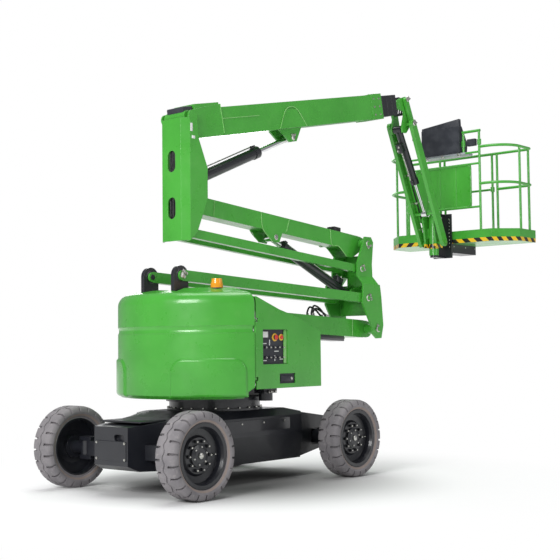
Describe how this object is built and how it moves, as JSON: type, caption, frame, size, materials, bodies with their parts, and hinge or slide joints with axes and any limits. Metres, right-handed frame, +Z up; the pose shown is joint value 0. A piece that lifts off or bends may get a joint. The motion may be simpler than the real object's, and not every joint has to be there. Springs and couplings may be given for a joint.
{
  "type": "articulating boom lift",
  "caption": "Self-propelled articulating boom lift with a folding riser, telescopic main boom, jib, turning platform, steered wheels and a slewing turntable.",
  "frame": {"origin": "on the floor, in the middle of the machine's outline", "axes": "+X from the counterweight towards the platform, +Y to the left, +Z up"},
  "size_m": [6.183, 1.84, 4.187],
  "materials": {
    "green_paint": "gloss",
    "black_paint": "satin",
    "tyre": "matte",
    "rod_chrome": "polished",
    "black_plastic": "matte",
    "amber": "gloss"
  },
  "bodies": {
    "chassis": {"chassis_frame": "black_paint", "steer_axle": "black_paint", "drive_axle": "black_paint", "slew_ring": "black_paint", "tie_down_lugs": "black_paint"},
    "steer_left": {"steer_knuckle_left": "black_paint"},
    "steer_right": {"steer_knuckle_right": "black_paint"},
    "tie_rod": {"tie_rod": "black_paint"},
    "wheel_steer_left": {"tyre_steer_left": "tyre", "rim_steer_left": "black_paint"},
    "wheel_steer_right": {"tyre_steer_right": "tyre", "rim_steer_right": "black_paint"},
    "wheel_drive_left": {"tyre_drive_left": "tyre", "rim_drive_left": "black_paint"},
    "wheel_drive_right": {"tyre_drive_right": "tyre", "rim_drive_right": "black_paint"},
    "turntable": {"turntable_frame": "black_paint", "counterweight": "green_paint", "battery_pack": "black_plastic", "slew_drive": "black_paint", "beacon": "amber"},
    "hood_left": {"hood_left": "green_paint"},
    "hood_right": {"hood_right": "green_paint", "control_panel": "black_plastic"},
    "riser_lower_arm": {"riser_lower_arm": "green_paint"},
    "riser_lower_links": {"riser_lower_links": "green_paint"},
    "knuckle": {"knuckle": "green_paint"},
    "riser_upper_arm": {"riser_upper_arm": "green_paint"},
    "riser_upper_links": {"riser_upper_links": "green_paint"},
    "riser_cylinder": {"riser_cylinder": "black_paint"},
    "riser_rod": {"riser_rod": "rod_chrome"},
    "mast": {"mast": "green_paint"},
    "boom_outer": {"boom_outer": "green_paint"},
    "lift_cylinder": {"lift_cylinder": "black_paint"},
    "lift_rod": {"lift_rod": "rod_chrome"},
    "boom_inner": {"boom_inner": "black_paint"},
    "jib_bracket": {"jib_bracket": "green_paint"},
    "jib_arms": {"jib_arms": "green_paint"},
    "jib_links": {"jib_links": "green_paint"},
    "jib_cylinder": {"jib_cylinder": "black_paint"},
    "jib_rod": {"jib_rod": "rod_chrome"},
    "jib_end": {"jib_end": "green_paint"},
    "platform": {"platform_support": "black_paint", "platform_floor": "green_paint", "guard_rails": "green_paint", "console": "black_plastic"},
    "drop_bar": {"drop_bar": "green_paint"}
  },
  "joints": [
    {"name": "steer_left", "type": "hinge", "parent": "chassis", "child": "steer_left", "pos_m": [-2.72147, 0.6, 0.37], "axis": [0, 0, 1], "range_deg": [-40, 40]},
    {"name": "spin_steer_left", "type": "hinge", "parent": "steer_left", "child": "wheel_steer_left", "pos_m": [-2.72147, 0.797, 0.37], "axis": [0, 1, 0], "continuous": true},
    {"name": "spin_drive_left", "type": "hinge", "parent": "chassis", "child": "wheel_drive_left", "pos_m": [-0.60147, 0.797, 0.37], "axis": [0, 1, 0], "continuous": true},
    {"name": "steer_right", "type": "hinge", "parent": "chassis", "child": "steer_right", "pos_m": [-2.72147, -0.6, 0.37], "axis": [0, 0, 1], "range_deg": [-40, 40]},
    {"name": "spin_steer_right", "type": "hinge", "parent": "steer_right", "child": "wheel_steer_right", "pos_m": [-2.72147, -0.797, 0.37], "axis": [0, 1, 0], "continuous": true},
    {"name": "spin_drive_right", "type": "hinge", "parent": "chassis", "child": "wheel_drive_right", "pos_m": [-0.60147, -0.797, 0.37], "axis": [0, 1, 0], "continuous": true},
    {"name": "tie_rod_turn", "type": "hinge", "parent": "steer_left", "child": "tie_rod", "pos_m": [-2.56148, 0.6, 0.37], "axis": [0, 0, 1], "range_deg": [-40, 40]},
    {"name": "swing", "type": "hinge", "parent": "chassis", "child": "turntable", "pos_m": [-1.66148, 0, 0.765], "axis": [0, 0, 1], "range_deg": [-177.5, 177.5]},
    {"name": "hood_left_open", "type": "hinge", "parent": "turntable", "child": "hood_left", "pos_m": [-1.99148, 0.82, 1.2], "axis": [0, 0, 1], "range_deg": [0, 80]},
    {"name": "hood_right_open", "type": "hinge", "parent": "turntable", "child": "hood_right", "pos_m": [-1.99148, -0.82, 1.2], "axis": [0, 0, -1], "range_deg": [0, 80]},
    {"name": "riser_lift", "type": "hinge", "parent": "turntable", "child": "riser_lower_arm", "pos_m": [-2.13148, 0, 1.578], "axis": [0, -1, 0], "range_deg": [0, 68]},
    {"name": "lower_links_turn", "type": "hinge", "parent": "turntable", "child": "riser_lower_links", "pos_m": [-2.30647, 0, 1.913], "axis": [0, -1, 0], "range_deg": [0, 68]},
    {"name": "knuckle_level", "type": "hinge", "parent": "riser_lower_arm", "child": "knuckle", "pos_m": [0.6532, 0, 1.44181], "axis": [0, -1, 0], "range_deg": [-68, 0]},
    {"name": "upper_arm_turn", "type": "hinge", "parent": "knuckle", "child": "riser_upper_arm", "pos_m": [0.5992, 0, 2.37981], "axis": [0, -1, 0], "range_deg": [-68, 0]},
    {"name": "upper_links_turn", "type": "hinge", "parent": "knuckle", "child": "riser_upper_links", "pos_m": [0.4792, 0, 2.09981], "axis": [0, -1, 0], "range_deg": [-68, 0]},
    {"name": "mast_level", "type": "hinge", "parent": "riser_upper_arm", "child": "mast", "pos_m": [-1.98072, 0, 2.59645], "axis": [0, -1, 0], "range_deg": [0, 68]},
    {"name": "riser_cylinder_turn", "type": "hinge", "parent": "knuckle", "child": "riser_cylinder", "pos_m": [0.4392, 0, 1.81981], "axis": [0, -1, 0], "range_deg": [-55.15, 0]},
    {"name": "riser_rod_slide", "type": "slide", "parent": "riser_cylinder", "child": "riser_rod", "axis": [-0.9199, 0, 0.3922], "range_m": [0, 0.53879]},
    {"name": "boom_lift", "type": "hinge", "parent": "mast", "child": "boom_outer", "pos_m": [-2.11152, 0, 3.39645], "axis": [0, -1, 0], "range_deg": [-12, 62]},
    {"name": "lift_cylinder_turn", "type": "hinge", "parent": "mast", "child": "lift_cylinder", "pos_m": [-1.99072, 0, 2.80645], "axis": [0, -1, 0], "range_deg": [-9.75, 50.37]},
    {"name": "lift_rod_slide", "type": "slide", "parent": "lift_cylinder", "child": "lift_rod", "axis": [0.921, 0, 0.3896], "range_m": [-0.09696, 0.50097]},
    {"name": "telescope", "type": "slide", "parent": "boom_outer", "child": "boom_inner", "axis": [0.9781, 0, 0.2079], "range_m": [0, 2.4]},
    {"name": "bracket_level", "type": "hinge", "parent": "boom_inner", "child": "jib_bracket", "pos_m": [1.38915, 0, 4.06898], "axis": [0, -1, 0], "range_deg": [-62, 12]},
    {"name": "jib_lift", "type": "hinge", "parent": "jib_bracket", "child": "jib_arms", "pos_m": [1.56415, 0, 3.85898], "axis": [0, 1, 0], "range_deg": [-125, 0]},
    {"name": "jib_links_turn", "type": "hinge", "parent": "jib_bracket", "child": "jib_links", "pos_m": [1.49915, 0, 4.13898], "axis": [0, 1, 0], "range_deg": [-125, 0]},
    {"name": "jib_end_level", "type": "hinge", "parent": "jib_arms", "child": "jib_end", "pos_m": [2.19807, 0, 2.49951], "axis": [0, 1, 0], "range_deg": [0, 125]},
    {"name": "jib_cylinder_turn", "type": "hinge", "parent": "jib_bracket", "child": "jib_cylinder", "pos_m": [1.49915, 0, 3.79898], "axis": [0, -1, 0], "range_deg": [0, 119.34]},
    {"name": "jib_rod_slide", "type": "slide", "parent": "jib_cylinder", "child": "jib_rod", "axis": [0.491, 0, -0.8711], "range_m": [0, 0.10841]},
    {"name": "platform_rotate", "type": "hinge", "parent": "jib_end", "child": "platform", "pos_m": [2.22248, 0, 2.49951], "axis": [0, 0, 1], "range_deg": [-90, 90]},
    {"name": "drop_bar_lift", "type": "slide", "parent": "platform", "child": "drop_bar", "axis": [0, 0, 1], "range_m": [0, 0.38]}
  ],
  "couplings": [
    {"joint": "steer_right", "follows": "steer_left", "ratio": 1},
    {"joint": "tie_rod_turn", "follows": "steer_left", "ratio": -1},
    {"joint": "lower_links_turn", "follows": "riser_lift", "ratio": 1},
    {"joint": "knuckle_level", "follows": "riser_lift", "ratio": -1},
    {"joint": "upper_arm_turn", "follows": "riser_lift", "ratio": -1},
    {"joint": "upper_links_turn", "follows": "riser_lift", "ratio": -1},
    {"joint": "mast_level", "follows": "riser_lift", "ratio": 1},
    {"joint": "riser_cylinder_turn", "follows": "riser_lift", "ratio": -0.81096},
    {"joint": "riser_rod_slide", "follows": "riser_lift", "m_per_rad": 0.45398},
    {"joint": "lift_cylinder_turn", "follows": "boom_lift", "ratio": 0.81248},
    {"joint": "lift_rod_slide", "follows": "boom_lift", "m_per_rad": 0.46296},
    {"joint": "bracket_level", "follows": "boom_lift", "ratio": -1},
    {"joint": "jib_links_turn", "follows": "jib_lift", "ratio": 1},
    {"joint": "jib_end_level", "follows": "jib_lift", "ratio": -1},
    {"joint": "jib_cylinder_turn", "follows": "jib_lift", "ratio": -0.95473},
    {"joint": "jib_rod_slide", "follows": "jib_lift", "m_per_rad": -0.049693}
  ]
}
